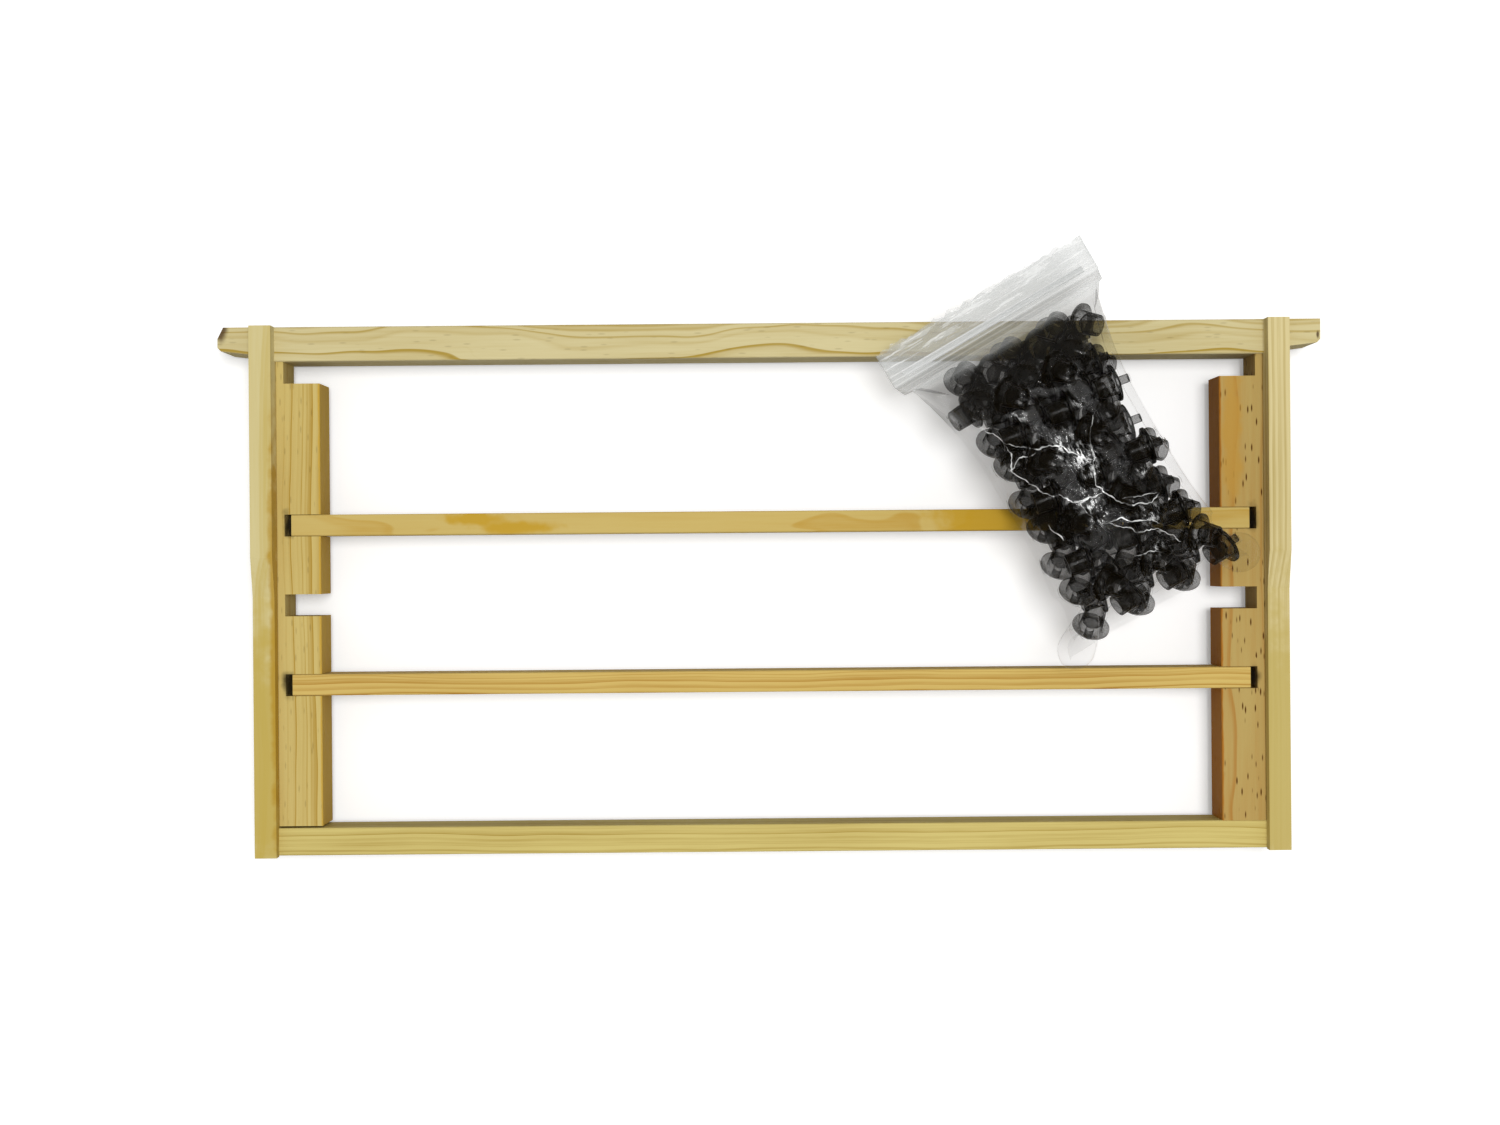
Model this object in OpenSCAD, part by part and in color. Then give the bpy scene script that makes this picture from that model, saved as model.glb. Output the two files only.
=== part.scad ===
// Queen rearing frame for a full-depth hive body, lying on its back edges, with two removable cell bars
// and a zip bag of push-in cell cups laid across its upper right part.
// X runs along the top bar, Y points from the bottom bar to the top bar, Z points up off the table.

/* [Frame] */
// Height from the top of the top bar to the feet of the end bars
frame_h = 232; // [200:1:300]
// Width over the outer faces of the end bars
frame_w = 452; // [430:1:460]

/* [Top bar] */
// Length of a lug beyond the end bar
lug_len = 15.3; // [12:0.1:24]
// Thickness of the top bar between the end bars
top_bar_t = 15; // [13:0.5:22]
// Depth of the top bar
top_bar_d = 22; // [20:0.5:30]
// Depth of the groove on each side that keys into the end bar's fork
neck_cut = 2; // [1:0.5:4]
// Thickness of a lug where it leaves the end bar
lug_root_t = 12; // [9:0.1:13]
// Thickness of a lug at its tip
lug_tip_t = 10.4; // [7:0.1:11]
// Bevel on the lower corner of a lug's tip
lug_bevel = 1.5; // [0.5:0.1:3]
// Width of the corner split off the left lug's tip
chip_w = 2.5; // [1:0.5:5]
// Height of the corner split off the left lug's tip
chip_h = 5; // [1:0.5:7]

/* [End bars] */
// Thickness of an end bar
end_bar_t = 9.5; // [8:0.5:12]
// Depth of an end bar in its wide upper part
end_bar_d = 35; // [32:0.5:38]
// Depth of an end bar in its narrow lower part
end_bar_low_d = 28; // [25:0.5:31]
// Distance from the top to where the end bar starts to narrow
shoulder_top = 101; // [60:1:120]
// Height of the slope that narrows the end bar
shoulder_h = 17; // [8:1:30]

/* [Bottom bar] */
// Thickness of the bottom bar
bottom_bar_t = 12; // [8:0.5:14]
// Height of the bottom bar above the end bars' feet
foot_h = 0.5; // [0:0.1:3]

/* [Slotted blocks] */
// Width of a block, from the end bar inwards
block_w = 19.3; // [17:0.1:24]
// Depth of the blocks, the bottom bar and the cell bars
stick_d = 19; // [16:0.5:22]
// Wood left between the end of a slot and the end bar
slot_back = 3.5; // [2:0.1:6]
// Height of a slot
slot_h = 9.6; // [8:0.1:12]
// Distance from the top of the frame to the first slot
first_slot = 82; // [60:0.5:90]
// Distance from one slot to the next
slot_step = 35; // [25:0.5:42]
// Number of slots in a block, with a cell bar in the first and the last
slot_count = 3; // [2:1:4]
// Gap between the left block and the bottom bar
left_block_gap = 0.9; // [0.2:0.1:2]

/* [Cell bars] */
// Gap between each end of a cell bar and the end of its slot
bar_end_gap = 3; // [0.5:0.1:6]
// Height of a slot less the thickness of the bar in it
bar_play = 0.3; // [0.2:0.1:0.6]
// Bevel along the edges of all the sticks
edge_bevel = 0.4; // [0.2:0.1:0.8]

/* [Nails] */
// Diameter of a nail's shank
nail_d = 1.6; // [1.2:0.1:2]
// Length of the nails in the top bar and the bottom bar
nail_len = 30; // [24:1:36]
// Length of the nails that hold the blocks
block_nail_len = 22; // [16:1:25]
// Diameter of a nail's head
nail_head_d = 3.6; // [2.6:0.1:4.4]
// Thickness of a nail's head
nail_head_t = 0.6; // [0.4:0.1:1]
// Distance between the two nails of a pair
nail_spread = 10; // [6:0.5:12]

/* [Zip bag] */
// Width of the bag at its zip and at its bottom
bag_w = 102; // [90:1:130]
// Width of the filled bag at its waist
bag_waist_w = 74; // [60:1:100]
// Length of the filled part of the bag
bag_fill = 143.5; // [110:0.5:170]
// Height of the filled bag above its seams
bag_crown = 42.5; // [30:0.5:60]
// Depth of the filled bag below its seams
bag_base = 10; // [8:0.5:16]
// Length of the lip beyond the zip
bag_lip = 16; // [8:1:30]
// Radius of the bag's bottom corners
bag_corner_r = 8; // [2:0.5:10]
// Thickness of the film
film_t = 0.3; // [0.2:0.05:0.5]
// Thickness of the closed zip over both films
zip_t = 2.4; // [2:0.1:4]
// Width of the zip's strips
zip_w = 3.2; // [2.4:0.1:5]
// Turn of the bag on the frame
bag_turn = 30; // [15:1:40]
// Distance from the right end bar to the middle of the bag's lip
bag_lip_in = 126.5; // [125:0.5:200]
// Height of the bag's upper corner above the top bar
bag_rise = 35; // [10:1:50]

/* [Cell cups] */
// Height of a cup above the root of its flange
cup_h = 10; // [8:0.1:14]
// Outer diameter of a cup's mouth
cup_mouth_d = 9.2; // [7:0.1:10]
// Outer diameter of a cup at its flange
cup_root_d = 10.2; // [9:0.1:11]
// Wall of a cup
cup_wall = 0.9; // [0.6:0.1:1.2]
// Diameter of a cup's flange
flange_d = 16; // [13:0.1:20]
// Thickness of a cup's flange
flange_t = 0.9; // [0.6:0.1:1.2]
// Height by which the flange's rim is dished towards the mouth
flange_dish = 0.8; // [0.2:0.1:1.5]
// Diameter of the push-in stub
stub_d = 3.7; // [2.5:0.1:5]
// Length of the push-in stub
stub_len = 4.7; // [3:0.1:7]

/* [Clearances] */
// Gap round a nail in its hole
nail_gap = 0.05; // [0.02:0.01:0.1]
// Gap between two cups of the pile
cup_gap = 0.3; // [0.2:0.1:1]
// Least gap between a cup and the film
film_gap = 0.8; // [0.6:0.1:2]
// Gap between the bag and the sticks that it lies on
bag_gap = 0.3; // [0.2:0.1:1]
// Gap between the zip's rib and its groove, and between the strips and the films
zip_gap = 0.1; // [0.05:0.05:0.2]

/* [Hidden] */
$fn = 48;

// Colours
pine = [0.86, 0.79, 0.52];
bar_pine = [0.89, 0.73, 0.43];
block_tan = [0.82, 0.66, 0.38];
steel = [0.62, 0.63, 0.65];
clear_film = [0.92, 0.93, 0.94, 0.3];
smoke = [0.16, 0.15, 0.13, 0.7];

// Heights in Y: the whole object, bag included, is centred on the origin
top_y = (frame_h - bag_rise) / 2;
foot_y = top_y - frame_h;
top_bar_low_y = top_y - top_bar_t;
bottom_bar_y = foot_y + foot_h;
bottom_bar_top_y = bottom_bar_y + bottom_bar_t;
function slot_top_y(i) = top_y - first_slot - i * slot_step;

// Planes across X
end_in_x = frame_w / 2 - end_bar_t;
lug_x = frame_w / 2 + lug_len;
block_in_x = end_in_x - block_w;
slot_end_x = end_in_x - slot_back;
slot_depth = block_w - slot_back;
cell_bar_len = 2 * (slot_end_x - bar_end_gap);

// Levels in Z: every stick is centred in the depth of the end bars
mid_z = end_bar_d / 2;
stick_z = mid_z - stick_d / 2;
stick_front_z = mid_z + stick_d / 2;
top_bar_front_z = mid_z + top_bar_d / 2;
neck_d = top_bar_d - 2 * neck_cut;

cell_bar_t = slot_h - bar_play;
past = 1;

// Half widths of the bag, and how far along it a point is from the middle of its filled part, from 0 to 1
bag_half = bag_w / 2;
waist_half = bag_waist_w / 2;
function off_middle(v) = abs(2 * v / bag_fill - 1);
flare = 3;

// Half the width of the bag, widest at the zip and at the rounded bottom corners
function corner_cut(v) = v > bag_corner_r ? 0
    : bag_corner_r - sqrt(pow(bag_corner_r, 2) - pow(bag_corner_r - v, 2));
function half_width(v) = v > bag_fill ? bag_half
    : waist_half + (bag_half - waist_half) * pow(off_middle(v), flare) - corner_cut(v);

// Height of a film above the seams: a crown that ends in the bottom seam and runs out into the flat lip
function film_rise(v, crown, fullness) = v > bag_fill ? zip_t / 2
    : max(v > bag_fill / 2 ? zip_t / 2 : 0, crown * (1 - pow(off_middle(v), fullness)));
front_fullness = 8;
front_squareness = 5;
back_fullness = 16;
back_squareness = 8;

// Whether a point, measured from the bottom seam, lies inside the bag and clear of its films
function in_bag(p) = p[1] <= 0 || p[1] >= bag_fill ? false : let (
    front = p[2] > 0,
    half = half_width(p[1]) - film_t - film_gap,
    crown = front ? bag_crown : bag_base,
    rise = film_rise(p[1], crown, front ? front_fullness : back_fullness) - film_t - film_gap,
    squareness = front ? front_squareness : back_squareness)
    half > 0 && rise > 0 && pow(abs(p[0]) / half, squareness) + pow(abs(p[2]) / rise, squareness) < 1;

// The cup's middle, and the points of its rims that have to fit in the bag
cup_mid = (pow(cup_mouth_d / 2, 2) + pow(cup_h, 2) - pow(stub_d / 2, 2) - pow(stub_len, 2))
    / (2 * (cup_h + stub_len));
cup_rims = concat(
    [for (a = [0 : 30 : 330], z = [flange_dish, flange_dish + flange_t])
        [flange_d / 2 * cos(a), flange_d / 2 * sin(a), z - cup_mid]],
    [for (a = [0 : 45 : 315]) [cup_mouth_d / 2 * cos(a), cup_mouth_d / 2 * sin(a), cup_h - cup_mid]],
    [for (a = [0 : 90 : 270]) [stub_d / 2 * cos(a), stub_d / 2 * sin(a), -stub_len - cup_mid]]);

// A point leaned over by a turn about Y and then turned about Z
function turned(p, lean, turn) = let (x = p[0] * cos(lean) + p[2] * sin(lean))
    [x * cos(turn) - p[1] * sin(turn), x * sin(turn) + p[1] * cos(turn), p[2] * cos(lean) - p[0] * sin(lean)];

// The pile repeats one small group of cups that interlock: place in its block, lean and turn of the mouth
PILE_GROUP = [
    [0.940, 0.049, 0.962, 140, 81], [0.414, 0.307, 0.885, 95, -96],
    [0.366, 0.801, 0.470, 78, -95], [0.855, 0.545, 0.393, 31, 91]];
// The group's block grows with the cups, and is turned so that its rows don't follow the bag's edges
pile_unit = max(flange_d + cup_gap, 1.109 * (cup_h + stub_len), 1.598 * cup_root_d);
PILE_BLOCK = [1.440, 1.362, 1.115] * pile_unit;
pile_lean = 41;
pile_turn = 268;
pile_start = [-6, bag_fill / 2 - 1.75, 7];

// Middle of a cup of the group in block i, measured from the bottom seam
function pile_place(i, c) = turned([for (k = [0 : 2]) (i[k] + c[k]) * PILE_BLOCK[k]], pile_lean, pile_turn)
    + pile_start;
function rim_place(i, c, p) = pile_place(i, c) + turned(turned(p, c[3], c[4]), pile_lean, pile_turn);
function cup_fits(i, c) = in_bag(pile_place(i, c))
    && len([for (p = cup_rims) if (!in_bag(rim_place(i, c, p))) 1]) == 0;

// Every row of the pile: its layer, its place in the layer and its cups
pile_reach = ceil(bag_fill / min(PILE_BLOCK));
CUP_ROWS = [for (k = [-pile_reach : pile_reach], j = [-pile_reach : pile_reach]) let (
    cups = [for (i = [-pile_reach : pile_reach], c = PILE_GROUP) if (cup_fits([i, j, k], c)) [[i, j, k], c]])
    if (len(cups) > 0) [k, j, cups]];

first_layer = min([for (r = CUP_ROWS) r[0]]);
first_row = min([for (r = CUP_ROWS) r[1]]);
function row_name(r) = str("cell_cups_layer", r[0] - first_layer + 1, "_row", r[1] - first_row + 1);

// Sticks

function bevelled(w, h) = let (c = edge_bevel)
    [[c, 0], [w - c, 0], [w, c], [w, h - c], [w - c, h], [c, h], [0, h - c], [0, c]];

// A bar along X, centred on it, with its lower edge at height y and its back at depth z
module bar_along_x(len, y, z, t, d) {
    translate([-len / 2, y, z]) rotate([90, 0, 90]) linear_extrude(len) polygon(bevelled(t, d));
}

// A shape drawn in X and Y, extruded through depth d about the middle of the end bars
module through_depth(d) {
    translate([0, 0, mid_z - d / 2]) linear_extrude(d) children();
}

// Both ends of the frame get the same feature
module both_ends() {
    children();
    mirror([1, 0, 0]) children();
}

// Nails

// A nail along +Z with its head's face at the origin, grown by gap for its hole
module nail(len, gap = 0) {
    tip = nail_d * 1.5;
    cylinder(h = nail_head_t + gap, d = nail_head_d + 2 * gap);
    cylinder(h = len - tip, d = nail_d + 2 * gap);
    translate([0, 0, len - tip]) cylinder(h = tip + gap, d1 = nail_d + 2 * gap, d2 = nail_d / 4 + 2 * gap);
}

// Two nails at each end, down through the top bar into the end bars
module top_nail_set(gap = 0) {
    both_ends() for (side = [-1, 1])
        translate([frame_w / 2 - end_bar_t / 2, top_y, mid_z + side * nail_spread / 2])
            rotate([90, 0, 0]) nail(nail_len, gap);
}

// Two nails at each end, up through the bottom bar into the end bars
module bottom_nail_set(gap = 0) {
    both_ends() for (side = [-1, 1])
        translate([frame_w / 2 - end_bar_t / 2, bottom_bar_y, mid_z + side * nail_spread / 2])
            rotate([-90, 0, 0]) nail(nail_len, gap);
}

// Heights of the nails that hold a block: between the notch and the first slot, and below the last slot
block_nail_ys = [
    (slot_top_y(0) + top_bar_low_y - slot_h) / 2,
    (slot_top_y(slot_count - 1) - slot_h + bottom_bar_top_y) / 2];

// Nails of the right-hand block, through the end bar from outside
module block_nail_set(gap = 0) {
    for (y = block_nail_ys)
        translate([frame_w / 2, y, mid_z]) rotate([0, -90, 0]) nail(block_nail_len, gap);
}

// Wooden pieces

// One end of the top bar: a neck in the fork, then the tapered lug
module top_bar_end() {
    through_depth(neck_d) translate([end_in_x, top_y - lug_root_t]) square([end_bar_t, lug_root_t]);
    through_depth(top_bar_d) polygon([
        [frame_w / 2, top_y], [frame_w / 2, top_y - lug_root_t],
        [lug_x - lug_bevel, top_y - lug_tip_t], [lug_x, top_y - lug_tip_t + lug_bevel], [lug_x, top_y]]);
}

module top_bar() {
    color(pine) difference() {
        union() {
            bar_along_x(2 * end_in_x, top_bar_low_y, mid_z - top_bar_d / 2, top_bar_t, top_bar_d);
            both_ends() top_bar_end();
        }
        through_depth(top_bar_d + 2 * past) polygon([
            [-lug_x, top_y - chip_h], [-lug_x + chip_w, top_y],
            [-lug_x + chip_w, top_y + past], [-lug_x - past, top_y + past], [-lug_x - past, top_y - chip_h]]);
        top_nail_set(nail_gap);
    }
}

// The right-hand end bar: wide above, narrow below, forked at the top and notched at the foot
module end_bar() {
    inset = (end_bar_d - end_bar_low_d) / 2;
    shoulder_y = top_y - shoulder_top;
    difference() {
        translate([end_in_x, 0, 0]) rotate([90, 0, 90]) linear_extrude(end_bar_t) polygon([
            [top_y, 0], [shoulder_y, 0], [shoulder_y - shoulder_h, inset], [foot_y, inset],
            [foot_y, end_bar_d - inset], [shoulder_y - shoulder_h, end_bar_d - inset],
            [shoulder_y, end_bar_d], [top_y, end_bar_d]]);
        translate([end_in_x - past, top_y - lug_root_t, mid_z - neck_d / 2])
            cube([end_bar_t + 2 * past, lug_root_t + past, neck_d]);
        translate([end_in_x - past, foot_y - past, stick_z])
            cube([end_bar_t + 2 * past, foot_h + bottom_bar_t + past, stick_d]);
        top_nail_set(nail_gap);
        bottom_nail_set(nail_gap);
        block_nail_set(nail_gap);
    }
}

module left_end_bar() {
    color(pine) mirror([1, 0, 0]) end_bar();
}

module right_end_bar() {
    color(pine) end_bar();
}

module bottom_bar() {
    color(pine) difference() {
        bar_along_x(frame_w, bottom_bar_y, stick_z, bottom_bar_t, stick_d);
        bottom_nail_set(nail_gap);
    }
}

// The right-hand block: a stick with a notch under the top bar and slots below, cut through its depth
module slot_block(gap_below) {
    len = top_bar_low_y - bottom_bar_top_y - gap_below;
    notch_y = top_bar_low_y - slot_h;
    difference() {
        translate([block_in_x, top_bar_low_y, stick_z]) rotate([90, 0, 0])
            linear_extrude(len) polygon(bevelled(block_w, stick_d));
        for (y = concat([notch_y], [for (i = [0 : slot_count - 1]) slot_top_y(i) - slot_h]))
            translate([block_in_x - past, y, stick_z - past])
                cube([slot_depth + past, y == notch_y ? slot_h + past : slot_h, stick_d + 2 * past]);
        block_nail_set(nail_gap);
    }
}

module left_slot_block() {
    color(pine) mirror([1, 0, 0]) slot_block(left_block_gap);
}

module right_slot_block() {
    color(block_tan) slot_block(0);
}

// A bar that lies in slot number i, flush with the blocks
module cell_bar(i) {
    color(bar_pine)
        bar_along_x(cell_bar_len, slot_top_y(i) - slot_h + bar_play / 2, stick_z, cell_bar_t, stick_d);
}

module upper_cell_bar() {
    cell_bar(0);
}

module lower_cell_bar() {
    cell_bar(slot_count - 1);
}

module top_bar_nails() {
    color(steel) top_nail_set();
}

module bottom_bar_nails() {
    color(steel) bottom_nail_set();
}

module left_block_nails() {
    color(steel) mirror([1, 0, 0]) block_nail_set();
}

module right_block_nails() {
    color(steel) block_nail_set();
}

// The bag, in its own frame: X across it, Y from its bottom seam to its lip, Z up from what it lies on

bag_len = bag_fill + bag_lip;
rest_y = slot_top_y(0) - slot_h + bar_play / 2;
bag_lean = atan((top_bar_front_z - stick_front_z) / (top_bar_low_y - rest_y));
corner_reach = (top_y + bag_rise - top_bar_low_y + bag_base * sin(bag_lean)) / cos(bag_lean);
lip_mid_reach = corner_reach - bag_half * sin(bag_turn);

// Lays the bag on the top bar's front edge and the upper cell bar
module on_the_sticks() {
    translate([0, top_bar_low_y, top_bar_front_z + bag_gap]) rotate([bag_lean, 0, 0])
        translate([end_in_x - bag_lip_in, lip_mid_reach, 0]) rotate([0, 0, bag_turn])
            translate([0, -bag_len, 0]) children();
}

// Cells of a film between its seams, and the largest of them
film_across = 20;
film_along = 26;
film_cell = [bag_half * sin(180 / film_across), bag_fill / 2 * sin(180 / film_along)];

// The front film lies on the rims of the cups and slopes down between them, to a low rise where there are none
film_slope = 0.8;
film_low = 3;
PILE_RIMS = [for (r = CUP_ROWS, cup = r[2], p = cup_rims) let (rim = rim_place(cup[0], cup[1], p))
    if (rim[2] > 0) rim];
function laid_on_cups(x, v) = max(film_low, max([for (q = PILE_RIMS) q[2] + film_t + film_gap
    - film_slope * max(0, abs(q[0] - x) - film_cell[0], abs(q[1] - v) - film_cell[1])]));

// Place of row j along a film, and of column i of that row across it
function film_v(j) = j > film_along ? bag_len : bag_fill / 2 * (1 - cos(180 * j / film_along));
function film_side(i) = cos(180 * i / film_across);

// Point i across and j along a film, set in from its outer face and no higher than its top there
lip_squareness = 14;
function film_point(i, j, set_in, crown, fullness, squareness, top) = let (
    v = max(set_in, film_v(j)),
    square = v >= bag_fill ? lip_squareness : squareness,
    rise = max(0, film_rise(v, crown, fullness) - set_in),
    dome = rise * pow(1 - pow(abs(film_side(i)), square), 1 / square))
    [(half_width(film_v(j)) - set_in) * film_side(i), v, min(dome, top - set_in)];

// One film of the bag, from its bottom seam over its crown to its lip, with its side edges in the seam plane
module film(crown, fullness, squareness, on_cups) {
    across = film_across + 1;
    rows = film_along + 1;
    inner = across * (rows + 1);
    tops = [for (j = [0 : rows], i = [0 : film_across])
        on_cups ? laid_on_cups(half_width(film_v(j)) * film_side(i), film_v(j)) : crown];
    points = [for (set_in = [0, film_t], j = [0 : rows], i = [0 : film_across])
        film_point(i, j, set_in, crown, fullness, squareness, tops[j * across + i])];
    cells = [for (j = [0 : rows - 1], i = [0 : film_across - 1]) j * across + i];
    sides = concat(
        [for (i = [0 : film_across - 1]) [i + 1, i]],
        [for (j = [0 : rows - 1]) [j * across, (j + 1) * across]],
        [for (i = [0 : film_across - 1]) [rows * across + i, rows * across + i + 1]],
        [for (j = [0 : rows - 1]) [(j + 2) * across - 1, (j + 1) * across - 1]]);
    polyhedron(points, concat(
        [for (k = cells) each [[k, k + 1, k + across], [k + 1, k + across + 1, k + across]]],
        [for (k = cells) let (m = k + inner)
            each [[m, m + across, m + 1], [m + 1, m + across, m + across + 1]]],
        [for (e = sides) each [[e[0], e[1], e[0] + inner], [e[1], e[1] + inner, e[0] + inner]]]));
}

module bag_front_film() {
    color(clear_film) on_the_sticks() translate([0, 0, bag_base])
        film(bag_crown, front_fullness, front_squareness, true);
}

module bag_back_film() {
    color(clear_film) on_the_sticks() translate([0, 0, bag_base]) mirror([0, 0, 1])
        film(bag_base, back_fullness, back_squareness, false);
}

// The zip's two strips lie between the films and lock into each other
zip_room = zip_t / 2 - film_t - zip_gap;
zip_end_gap = 6;
zip_len = 2 * (bag_half - zip_end_gap);
rib_base = zip_room / 2;
rib_w = zip_w / 3;

module on_the_zip() {
    on_the_sticks() translate([-zip_len / 2, bag_fill + zip_w / 2, bag_base]) children();
}

module zip_rib_strip() {
    color(clear_film) on_the_zip() {
        translate([0, 0, zip_room - rib_base]) cube([zip_len, zip_w, rib_base]);
        translate([0, (zip_w - rib_w) / 2, -zip_room / 2]) cube([zip_len, rib_w, 2 * zip_room - rib_base]);
    }
}

module zip_groove_strip() {
    groove_w = rib_w + 2 * zip_gap;
    groove_floor = -zip_room / 2 - zip_gap;
    wall_top = zip_room - rib_base - zip_gap;
    color(clear_film) on_the_zip() difference() {
        translate([0, 0, -zip_room]) cube([zip_len, zip_w, wall_top + zip_room]);
        translate([-past, (zip_w - groove_w) / 2, groove_floor])
            cube([zip_len + 2 * past, groove_w, wall_top - groove_floor + past]);
    }
}

// The cups

// One cup on +Z with its middle at the origin
module cell_cup() {
    floor_z = flange_t + cup_wall;
    inner_r = cup_root_d / 2 - cup_wall;
    translate([0, 0, -cup_mid]) rotate_extrude() polygon([
        [0, -stub_len], [stub_d / 2, -stub_len], [stub_d / 2, 0], [cup_root_d / 2, 0],
        [flange_d / 2, flange_dish], [flange_d / 2, flange_dish + flange_t], [cup_root_d / 2, flange_t],
        [cup_mouth_d / 2, cup_h], [cup_mouth_d / 2 - cup_wall, cup_h],
        [inner_r, floor_z + inner_r / 2], [inner_r / 2, floor_z], [0, floor_z]]);
}

// One row of the pile
module cell_cups(r) {
    color(smoke) on_the_sticks() for (cup = r[2]) let (c = cup[1])
        translate(pile_place(cup[0], c) + [0, 0, bag_base]) rotate([0, pile_lean, pile_turn])
            rotate([0, c[3], c[4]]) cell_cup();
}

top_bar();
left_end_bar();
right_end_bar();
bottom_bar();
left_slot_block();
right_slot_block();
upper_cell_bar();
lower_cell_bar();
top_bar_nails();
bottom_bar_nails();
left_block_nails();
right_block_nails();
bag_front_film();
bag_back_film();
zip_rib_strip();
zip_groove_strip();
for (r = CUP_ROWS) cell_cups(r);
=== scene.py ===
import math

import bmesh
import bpy
import numpy as np
from mathutils import Matrix, Vector, noise
from mathutils.bvhtree import BVHTree


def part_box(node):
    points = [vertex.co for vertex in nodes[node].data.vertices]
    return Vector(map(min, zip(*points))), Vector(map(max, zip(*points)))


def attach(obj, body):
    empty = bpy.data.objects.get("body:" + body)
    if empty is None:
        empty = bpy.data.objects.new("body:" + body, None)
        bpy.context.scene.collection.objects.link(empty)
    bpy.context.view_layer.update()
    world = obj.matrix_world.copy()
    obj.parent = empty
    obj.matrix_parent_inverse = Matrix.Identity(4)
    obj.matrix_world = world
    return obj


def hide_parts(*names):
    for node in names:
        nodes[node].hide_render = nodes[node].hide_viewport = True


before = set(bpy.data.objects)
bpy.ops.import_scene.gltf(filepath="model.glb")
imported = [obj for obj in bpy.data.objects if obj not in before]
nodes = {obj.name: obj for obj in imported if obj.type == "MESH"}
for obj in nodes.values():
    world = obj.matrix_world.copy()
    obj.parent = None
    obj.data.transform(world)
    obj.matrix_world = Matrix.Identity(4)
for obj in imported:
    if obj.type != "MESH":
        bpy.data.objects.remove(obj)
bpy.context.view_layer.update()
scene = bpy.context.scene
MM = 1000  # millimetres in a metre

# Camera: straight above the frame, as in the photograph

camera = bpy.data.objects.new("overhead_camera", bpy.data.cameras.new("overhead_camera"))
camera.data.sensor_width = 36
camera.data.lens = 43.8
camera.data.clip_start = 0.01
camera.location = (-0.00907, -0.0062, 0.827)
camera.rotation_euler = (0, 0, math.radians(-0.48))
scene.collection.objects.link(camera)
scene.camera = camera

# Node helpers


def colour(red, green, blue):
    """A colour given as it looks on a screen, from 0 to 255, made linear."""
    shares = [c / 255 for c in (red, green, blue)]
    return [*(((s + 0.055) / 1.055) ** 2.4 if s > 0.04045 else s / 12.92 for s in shares), 1]


def feed(socket, value):
    """Links a socket to another one, or sets its value."""
    if isinstance(value, bpy.types.NodeSocket):
        socket.id_data.links.new(value, socket)
    else:
        socket.default_value = value


def add(tree, kind, *values, **settings):
    """Adds a shader node, sets its properties, feeds its inputs in order and gives back the node."""
    node = tree.nodes.new("ShaderNode" + kind)
    for name, value in settings.items():
        setattr(node, name, value)
    for socket, value in zip(node.inputs, values):
        feed(socket, value)
    return node


def calc(tree, operation, *values):
    return add(tree, "Math", *values, operation=operation).outputs[0]


def vector_calc(tree, operation, *values):
    return add(tree, "VectorMath", *values, operation=operation).outputs[0]


def length_of(tree, vector):
    return add(tree, "VectorMath", vector, operation="LENGTH").outputs["Value"]


def scaled(tree, vector, factor):
    """The vector times one number, which may come from a socket."""
    node = add(tree, "VectorMath", vector, operation="SCALE")
    feed(node.inputs["Scale"], factor)
    return node.outputs[0]


def stretched(tree, vector, along, across):
    """The vector scaled by one number along the grain and by another across it."""
    return vector_calc(tree, "MULTIPLY", vector, (along, across, across))


def mapped(tree, vector, scale=1, turn=0, shift=(0, 0, 0)):
    """The vector scaled, turned about Z by some degrees and then shifted."""
    node = add(tree, "Mapping", vector)
    node.inputs["Scale"].default_value = (scale, scale, scale)
    node.inputs["Rotation"].default_value = (0, 0, math.radians(turn))
    node.inputs["Location"].default_value = shift
    return node.outputs[0]


def clouds(tree, vector, detail=2.0, roughness=0.5):
    node = add(tree, "TexNoise")
    feed(node.inputs["Vector"], vector)
    feed(node.inputs["Scale"], 1.0)
    feed(node.inputs["Detail"], detail)
    feed(node.inputs["Roughness"], roughness)
    return node.outputs


def between(tree, value, low, high, out_low=0.0, out_high=1.0):
    """The value's place from low to high, as a smooth step from out_low to out_high."""
    node = add(tree, "MapRange", interpolation_type="SMOOTHSTEP")
    ends = {"Value": value, "From Min": low, "From Max": high, "To Min": out_low, "To Max": out_high}
    for name, number in ends.items():
        feed(node.inputs[name], number)
    return node.outputs["Result"]


def blended(tree, factor, first, second, kind="MIX"):
    node = add(tree, "Mix", data_type="RGBA", blend_type=kind)
    feed(node.inputs["Factor"], factor)
    colours = [s for s in node.inputs if s.type == "RGBA"]
    feed(colours[0], first)
    feed(colours[1], second)
    return next(s for s in node.outputs if s.type == "RGBA")


def curve(tree, value, stops):
    """A grey ramp over the value."""
    node = add(tree, "ValToRGB", value)
    while len(node.color_ramp.elements) < len(stops):
        node.color_ramp.elements.new(0.5)
    for element, (place, level) in zip(node.color_ramp.elements, stops):
        element.position = place
        element.color = (level, level, level, 1)
    return node.outputs["Color"]


def bumped(tree, height, strength, distance):
    """A normal raised by the height. The distance is in metres."""
    node = add(tree, "Bump")
    node.inputs["Strength"].default_value = strength
    node.inputs["Distance"].default_value = distance
    feed(node.inputs["Height"], height)
    return node.outputs[0]


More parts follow.
